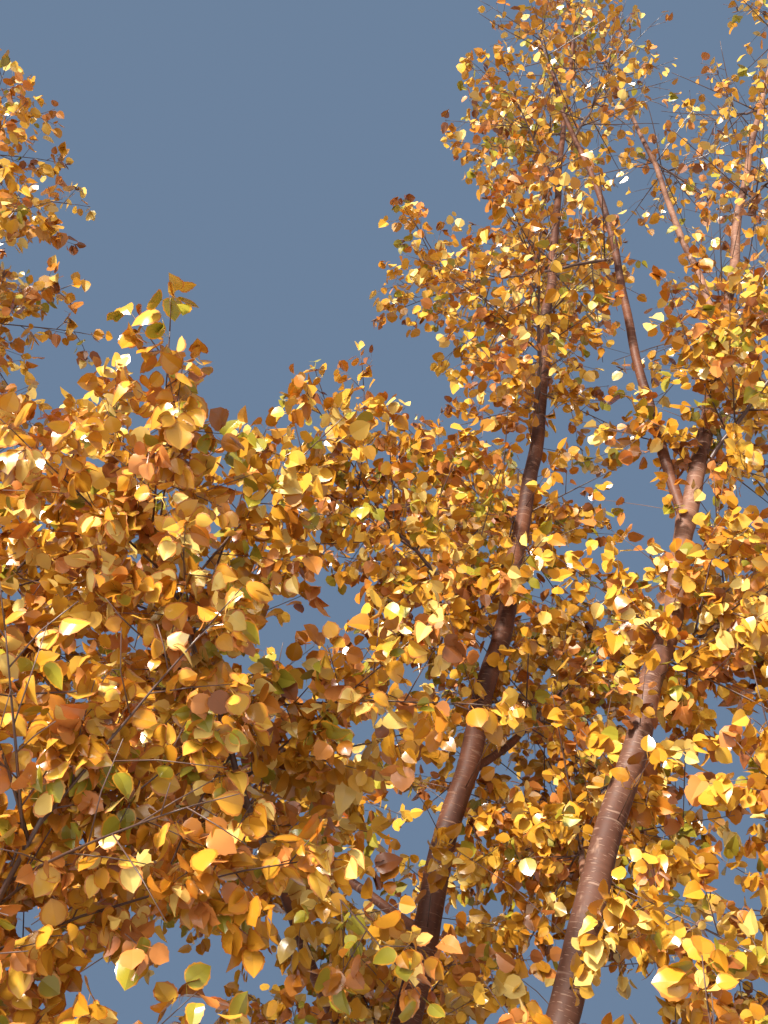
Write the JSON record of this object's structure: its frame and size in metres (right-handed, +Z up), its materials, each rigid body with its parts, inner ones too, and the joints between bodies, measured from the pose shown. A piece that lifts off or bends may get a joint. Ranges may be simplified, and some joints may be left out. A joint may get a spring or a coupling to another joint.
{
  "type": "birch tree",
  "caption": "Small clump birch in autumn leaf: slender stems leaning out of one flared foot, tapering boughs, and open masses of fine twigs with broad golden leaves.",
  "frame": {"origin": "middle of the flat cut under the trunk foot, at ground level", "axes": "+Z up to the crown's top, +X the way in which the two tall stems lean"},
  "size_m": [4.0863, 2.8451, 6.9048],
  "materials": {
    "foot_bark": "rough dark brown old bark with grey cracks",
    "dark_bark": "smooth coppery red-brown young birch bark with fine pale cross marks, slightly glossy",
    "pale_bark": "smooth pinkish brown birch bark with pale cross marks and peeled patches, slightly glossy",
    "gold_leaf": "golden autumn leaf, thin, waxy upper face",
    "amber_leaf": "amber autumn leaf, thin, waxy upper face",
    "yellow_leaf": "light yellow autumn leaf, thin, waxy upper face",
    "russet_leaf": "russet autumn leaf, thin, a little dry",
    "green_gold_leaf": "green-gold leaf that is still turning, thin, waxy upper face"
  },
  "bodies": {
    "root": {"trunk_foot": "foot_bark", "middle_stem": "dark_bark", "right_stem": "pale_bark", "left_stem": "dark_bark", "right_inner_stem": "dark_bark", "right_back_stem": "pale_bark", "left_bough_1": "dark_bark", "left_bough_2": "dark_bark", "left_bough_3": "dark_bark", "left_bough_4": "dark_bark", "middle_bough_1": "dark_bark", "middle_bough_2": "dark_bark", "middle_bough_3": "dark_bark", "middle_bough_4": "dark_bark", "middle_bough_5": "dark_bark", "middle_bough_6": "dark_bark", "right_bough_1": "pale_bark", "right_bough_2": "pale_bark", "right_bough_3": "pale_bark", "right_bough_4": "pale_bark", "foliage_01": "gold_leaf", "foliage_02": "amber_leaf", "foliage_03": "yellow_leaf", "foliage_04": "russet_leaf", "foliage_05": "green_gold_leaf", "foliage_06": "gold_leaf", "foliage_07": "amber_leaf", "foliage_08": "yellow_leaf", "foliage_09": "russet_leaf", "foliage_10": "green_gold_leaf", "foliage_11": "gold_leaf", "foliage_12": "amber_leaf", "foliage_13": "yellow_leaf", "foliage_14": "russet_leaf", "foliage_15": "green_gold_leaf", "foliage_16": "gold_leaf", "foliage_17": "amber_leaf", "foliage_18": "yellow_leaf", "foliage_19": "russet_leaf", "foliage_20": "green_gold_leaf", "foliage_21": "gold_leaf", "foliage_22": "amber_leaf", "foliage_23": "yellow_leaf", "foliage_24": "russet_leaf", "foliage_25": "green_gold_leaf", "foliage_26": "gold_leaf", "foliage_27": "amber_leaf", "foliage_28": "yellow_leaf", "foliage_29": "russet_leaf", "foliage_30": "green_gold_leaf", "foliage_31": "gold_leaf", "foliage_32": "amber_leaf", "foliage_33": "yellow_leaf", "foliage_34": "russet_leaf", "foliage_35": "green_gold_leaf", "foliage_36": "gold_leaf", "foliage_37": "amber_leaf", "foliage_38": "yellow_leaf", "foliage_39": "russet_leaf", "foliage_40": "green_gold_leaf"}
  },
  "joints": []
}
